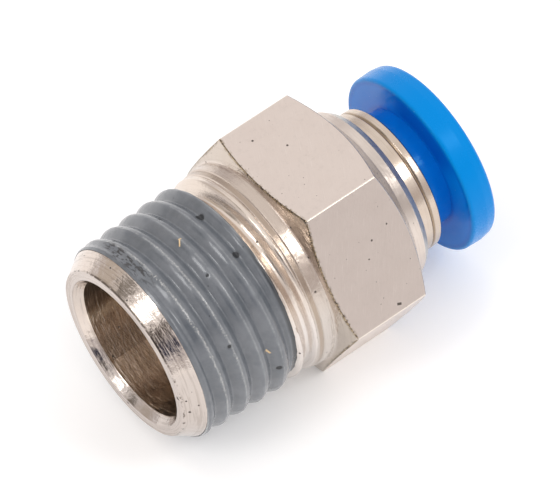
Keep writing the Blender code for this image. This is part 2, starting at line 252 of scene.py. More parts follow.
def lead_in(station):
    return THREAD_START_RADIUS + (station - COAT_START) * LEAD_IN_SLOPE


def thread_radius(station, angle):
    """The thread, cut shallower past the coat, where it runs out."""
    shallow = 1.0 - RUNOUT_SHALLOWING * ramp(station, *RUNOUT_FADE)
    depth = THREAD_DEPTH * ramp(station, COAT_START, THREAD_FULL) * shallow
    threaded = crest_radius(station) - depth * thread_wave(station, angle)
    return np.minimum(threaded, lead_in(station))


def coat_radius(station, angle):
    """Round lobes over the crests, with narrow valleys between them and a fine ridge on top."""
    lobe = np.sqrt(np.cos(math.pi * helix_turns(station, angle)) ** 2 + VALLEY_ROUND ** 2) - VALLEY_ROUND
    lobe = lobe / (math.sqrt(1 + VALLEY_ROUND ** 2) - VALLEY_ROUND)
    ridge = CREST_RIDGE * (np.exp(-thread_wave(station, angle) / CREST_RIDGE_WIDTH) - 1.0)
    depth = COAT_WAVE * ramp(station, COAT_START, THREAD_FULL)
    coated = crest_radius(station) + COAT_FILM - depth * (1.0 - lobe) + ridge
    return np.minimum(coated, lead_in(station) + COAT_LEAD_IN_FILM)


def waver(station, radius, angle, *waves):
    """Smooth noise on the surface points, the same on every run."""
    total = 0.0
    for scale, seed, height in waves:
        shift = Vector((seed * 3.7, seed * 1.9, seed * 5.3))
        points = zip(station.ravel(), radius.ravel(), angle.ravel())
        values = [noise.noise(Vector((s, r * math.cos(a), r * math.sin(a))) * scale + shift)
                  for s, r, a in points]
        total = total + np.array(values).reshape(station.shape) * height
    return total


def dents(station, radius, angle, marks):
    """Depth of small hollows in a surface."""
    depth = np.zeros(station.shape)
    for at, turn, size, deep in marks:
        around = (angle - math.radians(turn) + math.pi) % (2 * math.pi) - math.pi
        depth += deep * bell(np.hypot(station - at, around * radius), size)
    return depth


def around_corner(angle, share):
    """Angle from the nearest multiple of that share of a turn, counted from +Y."""
    return (angle + MARK_ANGLE + share / 2) % share - share / 2


# ---- meshes ---------------------------------------------------------------------------
LONGEST_BEND = 0.46
EDGE_STEPS = 4
FINE_STEPS = 6


def outline(corners, steps=EDGE_STEPS):
    """Closed outline from corners (station, radius, edge round, rows to the next corner)."""
    count = len(corners)
    places = [np.array(corner[:2], float) for corner in corners]
    bends = []
    for i, (here, corner) in enumerate(zip(places, corners)):
        if not corner[2]:
            bends.append([here])
            continue
        back, ahead = places[i - 1] - here, places[(i + 1) % count] - here
        far_back, far_ahead = np.linalg.norm(back), np.linalg.norm(ahead)
        back, ahead = back / far_back, ahead / far_ahead
        opening = math.acos(float(np.clip(back @ ahead, -1.0, 1.0)))
        wanted = corner[2] / max(math.tan(opening / 2), 1e-3)
        reach = min(wanted, LONGEST_BEND * far_back, LONGEST_BEND * far_ahead)
        first, last = here + back * reach, here + ahead * reach
        weight = math.sin(opening / 2)
        bend = []
        for k in range(steps + 1):
            u = k / steps
            a, b, c = (1 - u) ** 2, 2 * u * (1 - u) * weight, u * u
            bend.append((a * first + b * here + c * last) / (a + b + c))
        bends.append(bend)
    points = []
    for i, corner in enumerate(corners):
        points += bends[i]
        start, end = bends[i][-1], bends[(i + 1) % count][0]
        for k in range(corner[3]):
            share = 0.5 - 0.5 * math.cos(math.pi * (k + 1) / (corner[3] + 1))
            points.append(start + (end - start) * share)
    return np.array(points)


def even_turns(columns):
    return np.linspace(-math.pi, math.pi, columns, endpoint=False)


def ring_object(name, station, radius, angle, **attributes):
    """A closed ring-shaped mesh from rows x columns of stations and radii, and a row of angles."""
    rows, columns = station.shape
    turn = angle + MARK_ANGLE
    co = np.empty((rows, columns, 3))
    co[..., 0] = MOUTH_X + station * MM
    co[..., 1] = radius * np.cos(turn) * MM
    co[..., 2] = radius * np.sin(turn) * MM
    i, j = np.meshgrid(np.arange(rows), np.arange(columns), indexing="ij")
    down, right = (i + 1) % rows, (j + 1) % columns
    quads = np.stack([i * columns + j, i * columns + right, down * columns + right, down * columns + j], -1)
    mesh = bpy.data.meshes.new(name)
    mesh.from_pydata(co.reshape(-1, 3).tolist(), [], quads.reshape(-1, 4).tolist())
    for key, values in attributes.items():
        layer = mesh.attributes.new(key, "FLOAT", "POINT")
        layer.data.foreach_set("value", np.asarray(values, np.float32).ravel())
    return mesh_object(name, mesh)


def mesh_object(name, mesh, sharp=50.0):
    form = bmesh.new()
    form.from_mesh(mesh)
    bmesh.ops.recalc_face_normals(form, faces=form.faces)
    form.to_mesh(mesh)
    form.free()
    mesh.polygons.foreach_set("use_smooth", [True] * len(mesh.polygons))
    mesh.set_sharp_from_angle(angle=math.radians(sharp))
    obj = bpy.data.objects.new(name, mesh)
    bpy.context.scene.collection.objects.link(obj)
    return obj


def turned(name, corners, columns=192, steps=EDGE_STEPS):
    """A plain turned ring: the same outline at every angle."""
    points = outline(corners, steps)
    station = np.repeat(points[:, :1], columns, 1)
    radius = np.repeat(points[:, 1:], columns, 1)
    return ring_object(name, station, radius, even_turns(columns)[None, :])


def dress(obj, body, slot, material, *nodes):
    obj.data.materials.append(material)
    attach(obj, body)
    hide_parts(*nodes)


# ---- node trees -----------------------------------------------------------------------
class Field:
    """A value that varies over a surface. Arithmetic with it adds math nodes; | takes the greater."""

    def __init__(self, nodes, socket):
        self.nodes = nodes
        self.socket = socket

    def __add__(self, other):
        return self.nodes.math("ADD", self, other)

    def __radd__(self, other):
        return self.nodes.math("ADD", other, self)

    def __sub__(self, other):
        return self.nodes.math("SUBTRACT", self, other)

    def __rsub__(self, other):
        return self.nodes.math("SUBTRACT", other, self)

    def __mul__(self, other):
        return self.nodes.math("MULTIPLY", self, other)

    def __truediv__(self, other):
        return self.nodes.math("DIVIDE", self, other)

    def __rtruediv__(self, other):
        return self.nodes.math("DIVIDE", other, self)

    def __pow__(self, other):
        return self.nodes.math("POWER", self, other)

    def __or__(self, other):
        return self.nodes.math("MAXIMUM", self, other)

    def __abs__(self):
        return self.nodes.math("ABSOLUTE", self)

    def fade(self, low, high):
        """0 below low and 1 above high, or the other way round."""
        flip = low > high
        inputs = {"Value": self, "From Min": min(low, high), "From Max": max(low, high)}
        inputs.update({"To Min": 1.0, "To Max": 0.0} if flip else {})
        return self.nodes.node("MapRange", inputs, interpolation_type="SMOOTHSTEP")

    def between(self, low, high, soft):
        """1 from low to high, with soft ends."""
        return self.fade(low - soft, low + soft) * self.fade(high + soft, high - soft)


class Nodes:
    """A node tree, built through calls that each return a field."""

    def __init__(self, tree):
        self.tree = tree

    def node(self, kind, inputs=(), output=0, **settings):
        node = self.tree.nodes.new("ShaderNode" + kind)
        for key, value in settings.items():
            setattr(node, key, value)
        pairs = inputs.items() if isinstance(inputs, dict) else enumerate(inputs)
        for key, value in pairs:
            if isinstance(value, Field):
                self.tree.links.new(value.socket, node.inputs[key])
            else:
                node.inputs[key].default_value = value
        return Field(self, node.outputs[output])

    def split(self, vector):
        node = self.tree.nodes.new("ShaderNodeSeparateXYZ")
        self.tree.links.new(vector.socket, node.inputs[0])
        return [Field(self, socket) for socket in node.outputs]

    def math(self, operation, *values):
        return self.node("Math", values, operation=operation)

    def vector(self, x, y, z):
        return self.node("CombineXYZ", [x, y, z])

    def scaled(self, vector, *factors):
        return self.node("VectorMath", [vector, factors], operation="MULTIPLY")

    def moved(self, vector, shift):
        return self.node("VectorMath", [vector, shift], operation="ADD")

    def noise(self, vector, scale, detail=2.0, roughness=0.5):
        inputs = {"Vector": vector, "Scale": scale, "Detail": detail, "Roughness": roughness}
        return self.node("TexNoise", inputs)

    def colour(self, share, first, second):
        first, second = [(*c, 1.0) if isinstance(c, tuple) else c for c in (first, second)]
        return self.node("Mix", {0: share, 6: first, 7: second}, output=2, data_type="RGBA")

    def layered(self, base, *layers):
        """Lays each (mask, strength, colour) over the ones before it."""
        for mask, strength, tint in layers:
            share = mask if strength == 1.0 else mask * strength
            base = self.colour(share, base, tint)
        return base


class Shader(Nodes):
    """A node material, with the fitting's own coordinates."""

    SMEAR_SOFTNESS = (0.06, 0.02)
    BLOT_NOISE = (5.0, 3.0)
    BLOT_RAGGEDNESS = 2.5
    BLOT_CORE = 0.7

    def __init__(self, name, roughness=0.5, metallic=0.0):
        self.material = bpy.data.materials.new(name)
        self.material.use_nodes = True
        super().__init__(self.material.node_tree)
        self.surface = self.tree.nodes["Principled BSDF"]
        self.surface.inputs["Roughness"].default_value = roughness
        self.surface.inputs["Metallic"].default_value = metallic
        metres = self.node("TexCoord", output="Object")
        self.place = self.scaled(metres, *(1 / MM,) * 3)
        x, y, z = self.split(self.place)
        self.station = x - MOUTH_X / MM
        self.radius = self.math("SQRT", y ** 2.0 + z ** 2.0)
        self.turn = self.math("ARCTAN2", z, y)
        self.marked = self.math("WRAP", self.turn - MARK_ANGLE, math.pi, -math.pi)

    def cells(self, vector, scale, output="Distance"):
        return self.node("TexVoronoi", {"Vector": vector, "Scale": scale}, output=output)

    def attribute(self, name):
        return self.node("Attribute", output="Fac", attribute_name=name)

    def relief(self, *layers):
        """Bumps laid over each other, each (height, distance in mm)."""
        normal = None
        for height, distance in layers:
            inputs = {"Height": height, "Distance": distance * MM, "Strength": 1.0}
            if normal is not None:
                inputs["Normal"] = normal
            normal = self.node("Bump", inputs)
        return normal

    def turned_lines(self, fine):
        """Tool marks that run round the axis: stretched noise, with a little drift."""
        _, y, z = self.split(self.place)
        along = self.vector(self.station * fine, self.radius * fine, 0.0)
        drift = self.vector(0.0, y * 0.35, z * 0.35)
        return self.noise(self.moved(along, drift), 1.0, 3.0, 0.6)

    def pits(self, scale, size, share, seed):
        """Scattered round spots: only some cells carry one, and their size varies."""
        place = self.moved(self.place, (seed, seed * 2.0, seed * 3.0))
        distance = self.cells(place, scale)
        chance = self.split(self.cells(place, scale, output="Color"))[0]
        reach = chance.fade(1.0 - share, 1.0 - share * 0.5) * (size * scale)
        return (reach - distance).fade(0.0, 0.25 * size * scale)

    def smear(self, station, degrees, length, width, slant):
        """A stretched spot on the outside, with its length turned from the axis by that many degrees."""
        along = self.station - station
        around = (self.marked - math.radians(degrees)) * self.radius
        c, s = math.cos(math.radians(slant)), math.sin(math.radians(slant))
        long_soft, wide_soft = self.SMEAR_SOFTNESS
        long_part = abs(along * c + around * s).fade(length / 2, length / 2 - long_soft)
        wide_part = abs(around * c - along * s).fade(width / 2, width / 2 - wide_soft)
        return long_part * wide_part

    def blot(self, station, radius, degrees, size):
        """A ragged spot around one point of the surface."""
        turn = math.radians(degrees) + MARK_ANGLE
        point = (station + MOUTH_X / MM, radius * math.cos(turn), radius * math.sin(turn))
        gap = self.node("VectorMath", [self.place, point], output="Value", operation="DISTANCE")
        ragged = (self.noise(self.place, *self.BLOT_NOISE) - 0.5) * (size * self.BLOT_RAGGEDNESS)
        return (gap + ragged).fade(size, size * self.BLOT_CORE)

    def finish(self, colour, normal, roughness=None):
        sockets = {"Base Color": colour, "Roughness": roughness, "Normal": normal}
        for name, field in sockets.items():
            if field is not None:
                self.tree.links.new(field.socket, self.surface.inputs[name])
        return self.material


# ---- materials ------------------------------------------------------------------------
# zones: from, to and softness, in mm of station or radius, or in radians from the mark line
TAIL_ZONE = (7.3, COLLAR_START, 0.1)
BAND_ZONE = (COLLAR_START, FRONT_FOOT, 0.05)
COLLAR_GROOVE_ZONE = (COLLAR_START + 0.06, COLLAR_STEP - 0.06, 0.04)
FRONT_CONE_ZONE = (10.2, 10.72, 0.03)
REAR_CONE_ZONE = (15.5, 16.98, 0.05)
BOSS_ZONE = (REAR_FOOT, BOSS_END - 0.44, 0.03)
MOUTH_CHAMFER_ZONE = (0.06, 1.10, 0.03)
STRUCK_ZONE = (-0.1, 1.1, 0.05)
RIM_LINE_ZONE = (5.47, 5.57, 0.025)
GUIDE_GROOVE_ZONE = (GUIDE_END - 0.65, GUIDE_END - 0.49, 0.03)
# angles of the lower flat, which the plate darkens with painted shade
LOWER_FLAT_SHADE_SIDE = (-0.07, 0.98, 0.01)
RIM_DIRT_SIDE = (-1.05, 0.30, 0.10)
STRUCK_SIDE = (-0.60, 0.60, 0.20)
# side of the boss that faces the key lamp, darkened with painted shade
BOSS_SHADE_SIDE = (-0.30, 0.45, 0.25)
BORE_SHADOW_SIDE = (2.45, 2.64, 0.10)
BORE_GLEAM_SIDE = (-2.56, -2.40, 0.07)
SCRATCH_TURN = math.radians(62.0)
# stains on the metal: station, radius, degrees from the mark line, size
STAINS = ((0.02, 5.22, 46.0, 0.13), (0.02, 5.02, 150.0, 0.11), (0.30, 5.72, 57.0, 0.08))
# a chip in the plate and brass slivers on the coat: station, degrees, length, width, slant
CHIP = (13.9, 53.0, 0.34, 0.16, 20.0)
SLIVERS = ((4.6, -33.0, 0.46, 0.10, -52.0), (5.8, 45.0, 0.46, 0.12, 62.0), (4.76, -34.6, 0.24, 0.08, 20.0))


def nickel_material():
    """Nickel plate over brass: turned, brushed on the flats, pitted, thin along its edges."""
    shader = Shader("nickel_plate", metallic=1.0)
    place, station, radius, marked = shader.place, shader.station, shader.radius, shader.marked
    flat, edge, corner = [shader.attribute(name) for name in ("flat", "edge", "corner")]
    lathe = 1.0 - flat
    bore = radius.fade(4.75, 4.55) * station.fade(0.35, 0.75)

    # flats: scratches that run slantwise across each one
    sixth = math.pi / 3
    sector = shader.math("FLOOR", shader.turn / sixth)
    within = shader.turn - (sector + 0.5) * sixth
    across = radius * shader.math("SINE", within)
    plane = shader.vector(station, across, sector * 7.3)
    slant = shader.node("Mapping", {"Vector": plane, "Rotation": (0.0, 0.0, SCRATCH_TURN)})
    scratches = shader.noise(shader.scaled(slant, 1.2, 15.0, 1.0), 1.0, 4.0, 0.65)
    hairs = shader.noise(shader.scaled(slant, 0.8, 26.0, 3.0), 1.0, 1.0).fade(0.64, 0.74)

    lines = shader.turned_lines(7.0)
    cloud = shader.noise(place, 0.55, 3.0, 0.55)
    peel = shader.noise(place, 5.0, 3.0, 0.6)
    speck = shader.noise(place, 9.0, 2.0, 0.6)
    grit = shader.noise(place, 4.2, 3.0, 0.7)
    mottle = shader.noise(place, 3.2, 4.0, 0.7)
    spots = shader.pits(1.6, 0.078, 0.30, 3.0) | shader.pits(3.6, 0.030, 0.22, 11.0) | shader.smear(*CHIP)
    for stain in STAINS:
        spots = spots | shader.blot(*stain)

    tail = station.between(*TAIL_ZONE)
    band = station.between(*BAND_ZONE)
    rear_cone = station.between(*REAR_CONE_ZONE) * lathe
    boss = station.between(*BOSS_ZONE)
    # the boss's end chamfer, beside the guide ring, which gets painted shade
    lip = station.fade(BOSS_END - 0.44, BOSS_END - 0.40) * radius.fade(5.15, 5.2)
    face = station.fade(0.06, 0.03)
    # painted shade on the lower side of the mouth
    shaded_underside = marked.fade(0.30, 0.60) * station.fade(COAT_START, COAT_START - 0.1)
    # tail and collar band: a brassy tone painted in as the tan reflection there, paler and greyer on the
    # lower side as painted floor light
    lower_side_light = marked.fade(0.30, 0.85)
    tail_reflection_tint = shader.colour(lower_side_light, (0.710, 0.622, 0.545), (0.735, 0.680, 0.640))
    band_reflection_tint = shader.colour(lower_side_light, (0.575, 0.492, 0.428), (0.610, 0.560, 0.515))

    # bare brass and grit along the hexagon's edges, mostly at the front
    below_flat = HEX_RADIUS / shader.math("COSINE", within) - radius
    front = (station - FRONT_FOOT) * HEX_FRONT_SLOPE + COLLAR_RADIUS
    rear = (REAR_FOOT - station) * HEX_REAR_SLOPE + BOSS_RADIUS
    below_cone = shader.math("MINIMUM", front, rear) - radius
    seam = below_cone.fade(0.11, 0.03) * below_flat.fade(0.055, 0.015)
    crumbs = below_cone.fade(0.52, 0.06) * below_flat.fade(0.26, 0.03) * grit.fade(0.50, 0.56)
    crumbs = crumbs * station.fade(13.6, 13.0)
    burr = edge | ((seam | crumbs) * station.fade(10.1, 10.2))
    worn = burr * speck.fade(0.30, 0.42) * (0.25 + station.fade(14.0, 13.0) * 0.75)
    bare = shader.colour(speck.fade(0.48, 0.58), (0.36, 0.275, 0.17), (0.06, 0.043, 0.032))

    # inside of the mouth
    shadow = marked.between(*BORE_SHADOW_SIDE) | marked.fade(-2.72, -2.92)
    lining = shader.layered(
        shader.colour(lines.fade(0.38, 0.64), (0.74, 0.635, 0.535), (0.53, 0.440, 0.365)),
        (shadow, 0.55, (0.30, 0.245, 0.205)),
        (marked.between(*BORE_GLEAM_SIDE), 0.9, (1.0, 0.90, 0.76)))

    rim_noise = (grit + marked.between(*RIM_DIRT_SIDE) * 0.16).fade(0.50, 0.60)
    rim_dirt = radius.between(*RIM_LINE_ZONE) * rim_noise * station.fade(0.16, 0.10)
    plate = shader.layered(
        shader.colour(cloud.fade(0.35, 0.68), (0.725, 0.648, 0.588), (0.668, 0.586, 0.524)),
        (flat, 0.8, (0.700, 0.612, 0.560)),
        # painted shade over the lower flat
        (flat * marked.between(*LOWER_FLAT_SHADE_SIDE), 0.22, (0.33, 0.300, 0.285)),
        # painted reflection on the tail and the collar band, set by side
        (tail * lathe, 1.0, tail_reflection_tint),
        (band * lathe, 1.0, band_reflection_tint),
        (station.between(*COLLAR_GROOVE_ZONE), 0.85, (0.400, 0.318, 0.250)),
        (station.between(*FRONT_CONE_ZONE) * lathe, 0.6, (0.50, 0.430, 0.360)),
        # painted reflection of the blue release ring on the rear cone, bluish grey and darker than the plate
        (rear_cone, 0.9, (0.435, 0.440, 0.480)),
        (shaded_underside, 1.0, (0.575, 0.515, 0.475)),
        (lines.fade(0.50, 0.72) * lathe, 0.28, (0.42, 0.345, 0.285)),
        (scratches.fade(0.5, 0.75) * flat, 0.12, (0.50, 0.43, 0.40)),
        (mottle.fade(0.50, 0.72) * flat, 0.20, (0.52, 0.46, 0.42)),
        (hairs * flat, 0.22, (0.90, 0.83, 0.78)),
        (worn, 0.95, bare),
        # painted highlight along the narrow flat at each hexagon corner
        (corner, 0.7, (0.86, 0.79, 0.70)),
        (station.between(*MOUTH_CHAMFER_ZONE) * lines.fade(0.52, 0.60), 0.30, (0.36, 0.310, 0.275)),
        (bore, 1.0, lining),
        (face, 0.85, (0.570, 0.505, 0.465)),
        (face * lines.fade(0.50, 0.64), 0.45, (0.36, 0.300, 0.255)),
        (rim_dirt, 0.85, (0.11, 0.085, 0.065)),
        (spots, 0.88, (0.07, 0.060, 0.050)),
        # painted shade on the boss's end chamfer
        (lip, 1.0, (0.52, 0.50, 0.46)),
        # painted shade over the boss where the lamp's highlight falls
        (boss * marked.between(*BOSS_SHADE_SIDE), 0.5, (0.30, 0.265, 0.240)))

    rough = 0.09 + flat * 0.19 + lines * 0.10 + spots * 0.3
    rough = rough + boss * 0.20 + lip * 0.22 + bore * 0.10 + band * 0.12 + tail * 0.08

    struck = station.between(*STRUCK_ZONE) * marked.between(*STRUCK_SIDE)
    beaten = shader.noise(place, 1.9, 1.5, 0.45)
    banded = shader.noise(shader.scaled(place, 1.0, 0.8, 0.8), 4.5, 2.0)
    fine = shader.noise(shader.scaled(place, 1.0, 0.6, 0.6), 15.0, 2.0)
    normal = shader.relief(
        (lines * lathe + bore * lines * 2.5, 0.012),
        (scratches * flat + spots * -4.0, 0.004),
        (peel, 0.006),
        (beaten * (lathe + tail * -0.65 + rear_cone * -0.6 + struck * -0.55), 0.030),
        (banded * (lathe + tail * -0.5 + struck * 0.3), 0.007),
        (fine * struck, 0.0045))
    return shader.finish(plate, normal, rough)


def bright_nickel_material():
    """The guide ring's plate: long turned lines and a darker brown groove."""
    shader = Shader("bright_nickel_plate", metallic=1.0)
    lines = shader.turned_lines(10.0)
    cloud = shader.noise(shader.place, 0.7, 3.0)
    peel = shader.noise(shader.place, 6.0, 2.0)
    plate = shader.layered(
        shader.colour(cloud.fade(0.35, 0.65), (0.645, 0.555, 0.475), (0.590, 0.495, 0.410)),
        (lines.fade(0.5, 0.72), 0.25, (0.42, 0.34, 0.27)),
        (shader.station.between(*GUIDE_GROOVE_ZONE), 0.75, (0.26, 0.185, 0.115)))
    normal = shader.relief((lines, 0.008), (peel, 0.003))
    return shader.finish(plate, normal, 0.14 + lines * 0.16)


def coat_material():
    """Baked sealant: semi-gloss blue grey, rubbed silvery along the crests."""
    shader = Shader("thread_sealant", roughness=0.4)
    place, station, marked = shader.place, shader.station, shader.marked
    helix = (station - CREST_PHASE) / PITCH - (shader.turn - MARK_ANGLE) / (2 * math.pi)
    from_crest = abs(shader.math("FRACT", helix + 0.5) - 0.5) * PITCH
    cloud = shader.noise(place, 0.8, 4.0, 0.6)
    speck = shader.noise(place, 7.0, 3.0, 0.6)
    grain = shader.noise(place, 16.0, 2.0)
    patchy = shader.noise(shader.scaled(place, 1.0, 0.35, 0.35), 2.4, 2.0)
    strokes = shader.noise(shader.scaled(place, 1.0, 0.30, 0.30), 6.0, 3.0, 0.65)
    flake = shader.noise(place, 12.0, 2.0).fade(0.50, 0.60)
    mouth_side = station.fade(5.2, 2.4)

    rub = from_crest.fade(0.075, 0.02) * (0.25 + mouth_side * 0.45)
    rub = rub * patchy.fade(0.34, 0.52) * (0.45 + flake * 0.55)
    flecks = from_crest.fade(0.15, 0.06) * flake * mouth_side * marked.between(-0.8, 0.9, 0.25)
    dust = shader.pits(2.0, 0.040, 0.22, 9.0)
    holes = shader.attribute("pit").fade(0.10, 0.34) | dust
    scuff = station.between(1.30, 2.05, 0.15) * marked.between(-1.15, -0.42, 0.15)
    end_shade = station.fade(COAT_END - 0.32, COAT_END - 0.10) * marked.fade(-0.40, -0.05)
    slivers = shader.smear(*SLIVERS[0])
    for sliver in SLIVERS[1:]:
        slivers = slivers | shader.smear(*sliver)

    base = shader.layered(
        shader.colour(cloud.fade(0.3, 0.7), (0.116, 0.129, 0.146), (0.160, 0.172, 0.190)),
        (speck.fade(0.60, 0.78), 0.15, (0.24, 0.26, 0.275)),
        (from_crest.fade(0.15, 0.02) * cloud.fade(0.36, 0.60), 0.30, (0.26, 0.28, 0.295)),
        (rub, 1.0, (0.50, 0.505, 0.50)),
        (flecks * speck.fade(0.46, 0.58), 0.6, (0.62, 0.60, 0.56)),
        (holes, 0.94, (0.012, 0.014, 0.017)),
        (scuff * strokes.fade(0.48, 0.57), 0.92, (0.022, 0.022, 0.024)),
        (end_shade, 0.8, (0.024, 0.026, 0.028)),
        (slivers, 1.0, (0.78, 0.56, 0.30)))
    rough = 0.11 + cloud * 0.08 + speck * 0.08 + holes * 0.45
    normal = shader.relief((speck + dust * -6.0 + slivers * 8.0, 0.0016), (grain, 0.00025))
    shader.surface.inputs["Specular IOR Level"].default_value = 0.80
    return shader.finish(base, normal, rough)


def blue_material():
    """Blue acetal: soft gloss, faint flow marks and a few pale nicks."""
    shader = Shader("blue_acetal")
    place, radius = shader.place, shader.radius
    cloud = shader.noise(shader.scaled(place, 0.3, 1.0, 1.0), 0.6, 3.0)
    grain = shader.noise(place, 14.0, 3.0, 0.6)
    ripple = shader.noise(place, 5.0, 2.0) * radius.fade(4.0, 3.9)
    rim = radius.fade(5.5, 5.8)
    back_face = shader.station.between(20.75, 21.2, 0.05) * radius.between(4.05, 5.45, 0.15)
    base = shader.layered(
        shader.colour(cloud.fade(0.3, 0.7), (0.0, 0.150, 0.63), (0.0, 0.172, 0.69)),
        (back_face, 1.0, (0.0, 0.215, 0.76)),
        # painted shade over part of the flange's back face
        (back_face * shader.marked.between(-0.80, 0.30, 0.20), 0.9, (0.0, 0.098, 0.56)),
        # painted light: the rim is a lighter blue than the stem and the back
        (rim, 1.0, (0.0, 0.238, 0.68)),
        (grain.fade(0.55, 0.8), 0.06, (0.05, 0.36, 0.82)),
        (shader.pits(2.2, 0.035, 0.18, 4.0), 0.5, (0.25, 0.50, 0.85)))
    rough = 0.07 + cloud * 0.06 + grain * 0.04 + rim * 0.15
    normal = shader.relief((grain, 0.0012), (cloud, 0.015), (ripple, 0.010))
    shader.surface.inputs["Specular IOR Level"].default_value = 0.30
    shader.surface.inputs["Specular Tint"].default_value = (0.20, 0.62, 1.0, 1.0)
    return shader.finish(base, normal, rough)


def plain_polymer(name, dark, light, roughness, scale):
    shader = Shader(name)
    cloud = shader.noise(shader.place, scale, 4.0, 0.6)
    grain = shader.noise(shader.place, scale * 14.0, 2.0)
    base = shader.colour(cloud.fade(0.3, 0.7), dark, light)
    rough = roughness + cloud * 0.12 + grain * 0.08
    return shader.finish(base, shader.relief((grain, 0.003)), rough)


def steel_material():
    shader = Shader("spring_steel", metallic=1.0)
    lines = shader.noise(shader.scaled(shader.place, 3.0, 18.0, 3.0), 1.0, 3.0, 0.6)
    cloud = shader.noise(shader.place, 1.2, 3.0)
    base = shader.colour(cloud.fade(0.3, 0.7), (0.56, 0.56, 0.57), (0.66, 0.65, 0.64))
    return shader.finish(base, shader.relief((lines, 0.002)), 0.20 + lines * 0.20)


def floor_material():
    shader = Shader("studio_floor", roughness=0.85)
    cloud = shader.noise(shader.place, 0.02, 3.0)
    grain = shader.noise(shader.place, 0.8, 2.0)
    base = shader.colour(cloud, (0.93, 0.93, 0.93), (0.945, 0.945, 0.945))
    shader.surface.inputs["Specular IOR Level"].default_value = 0.0
    shader.surface.inputs["Emission Color"].default_value = (1.0, 1.0, 1.0, 1.0)
    shader.surface.inputs["Emission Strength"].default_value = 0.20
    return shader.finish(base, shader.relief((grain, 0.01)))


# ---- pieces: every corner is (station, radius, edge round, rows to the next corner) ----
MOUTH_CORNERS = [(0.0, 5.52, 0.05, 4), (0.40, 5.78, 0.10, 6)]
COLLAR_CORNERS = [
    (COLLAR_START - 0.02, COLLAR_RADIUS - 0.16, 0.0, 0), (COLLAR_START + 0.03, COLLAR_RADIUS - 0.08, 0.02, 3),
    (COLLAR_STEP - 0.05, COLLAR_RADIUS - 0.09, 0.02, 0), (COLLAR_STEP, COLLAR_RADIUS, 0.03, 7),
    (FRONT_FOOT - 0.06, COLLAR_RADIUS, 0.03, 0), (FRONT_FOOT - 0.03, COLLAR_RADIUS + 0.03, 0.02, 0),
    (FRONT_FOOT, COLLAR_RADIUS, 0.03, 6)]
BOSS_CORNERS = [
    (REAR_FOOT, BOSS_RADIUS, 0.06, 5), (BOSS_END - BOSS_CHAMFER, BOSS_RADIUS - 0.07, 0.02, 3),
    (BOSS_END, BOSS_RADIUS - 0.39, 0.02, 2)]
INSIDE_CORNERS = [
    (BOSS_END, CARTRIDGE_RADIUS, 0.05, 6), (CARTRIDGE_START, CARTRIDGE_RADIUS, 0.03, 3),
    (CARTRIDGE_START, TUBE_HOLE_RADIUS, 0.04, 4), (TUBE_STOP, TUBE_HOLE_RADIUS, 0.03, 2),
    (TUBE_STOP, PASSAGE_RADIUS, 0.05, 3), (PASSAGE_START, PASSAGE_RADIUS, 0.08, 5),
    (BORE_END, BORE_RADIUS, 0.06, 26), (BORE_CHAMFER, BORE_RADIUS, 0.05, 4), (0.0, 4.90, 0.04, 1)]
# two fine grooves turned in the mouth's face
FACE_CORNERS = [
    (0.0, 5.10, 0.02, 0), (0.025, 5.13, 0.01, 0), (0.0, 5.16, 0.02, 1),
    (0.0, 5.34, 0.02, 0), (0.03, 5.38, 0.01, 0), (0.0, 5.41, 0.02, 0)]


def hexagon_radius(angle):
    """Distance to the hexagon's side, with a narrow flat along each of its six corners."""
    sixth = math.pi / 3
    psi = around_corner(angle, sixth)
    flat = HEX_RADIUS / np.cos(sixth / 2 - np.abs(psi))
    chamfer = (HEX_RADIUS / math.cos(sixth / 2) - CORNER_CUT) / np.cos(psi)
    return np.minimum(flat, chamfer)


def body_angles():
    """Even columns, with closer ones at the hexagon's corners."""
    angles = list(np.radians(np.arange(-180.0, 180.0, BODY_COLUMN_STEP)))
    for corner in range(6):
        for offset in CORNER_COLUMNS:
            turn = corner * math.pi / 3 + math.radians(offset) - MARK_ANGLE
            angles.append((turn + math.pi) % (2 * math.pi) - math.pi)
    angles = sorted(angles)
    kept = [angles[0]]
    for angle in angles[1:]:
        if angle - kept[-1] > math.radians(CLOSEST_COLUMNS):
            kept.append(angle)
    return np.array(kept)


def thread_stations():
    """Rows shared by the thread and the coat's inside, closer together where the thread runs out."""
    step = PITCH / ROWS_PER_PITCH
    rows = int((RUNOUT_START - COAT_START) / step)
    even = [COAT_START + step * row for row in range(rows + 1)]
    return even + list(np.arange(even[-1] + RUNOUT_STEP, COLLAR_START - RUNOUT_STEP, RUNOUT_STEP))


def body_corners(side):
    """The outline at an angle where the hexagon's side lies at that radius."""
    front = FRONT_FOOT + (side - COLLAR_RADIUS) / HEX_FRONT_SLOPE
    rear = REAR_FOOT - (side - BOSS_RADIUS) / HEX_REAR_SLOPE
    thread = [(station, crest_radius(station), 0.0, 0) for station in thread_stations()]
    hexagon = [(front, side, 0.07, 34), (rear, side, 0.07, 8)]
    return MOUTH_CORNERS + thread + COLLAR_CORNERS + hexagon + BOSS_CORNERS + INSIDE_CORNERS + FACE_CORNERS


def body_thread(station, turn):
    """The thread up to its shoulder, with a thin turned ridge before the collar."""
    threaded = thread_radius(station, turn)
    shoulder = ramp(station, COLLAR_START - SHOULDER_LENGTH, COLLAR_START - SHOULDER_END)
    threaded = threaded + (crest_radius(station) - SHOULDER_DROP - threaded) * shoulder
    return threaded + RIDGE_SIZE * bell(station - COLLAR_START + RIDGE_SETBACK, RIDGE_SIZE)


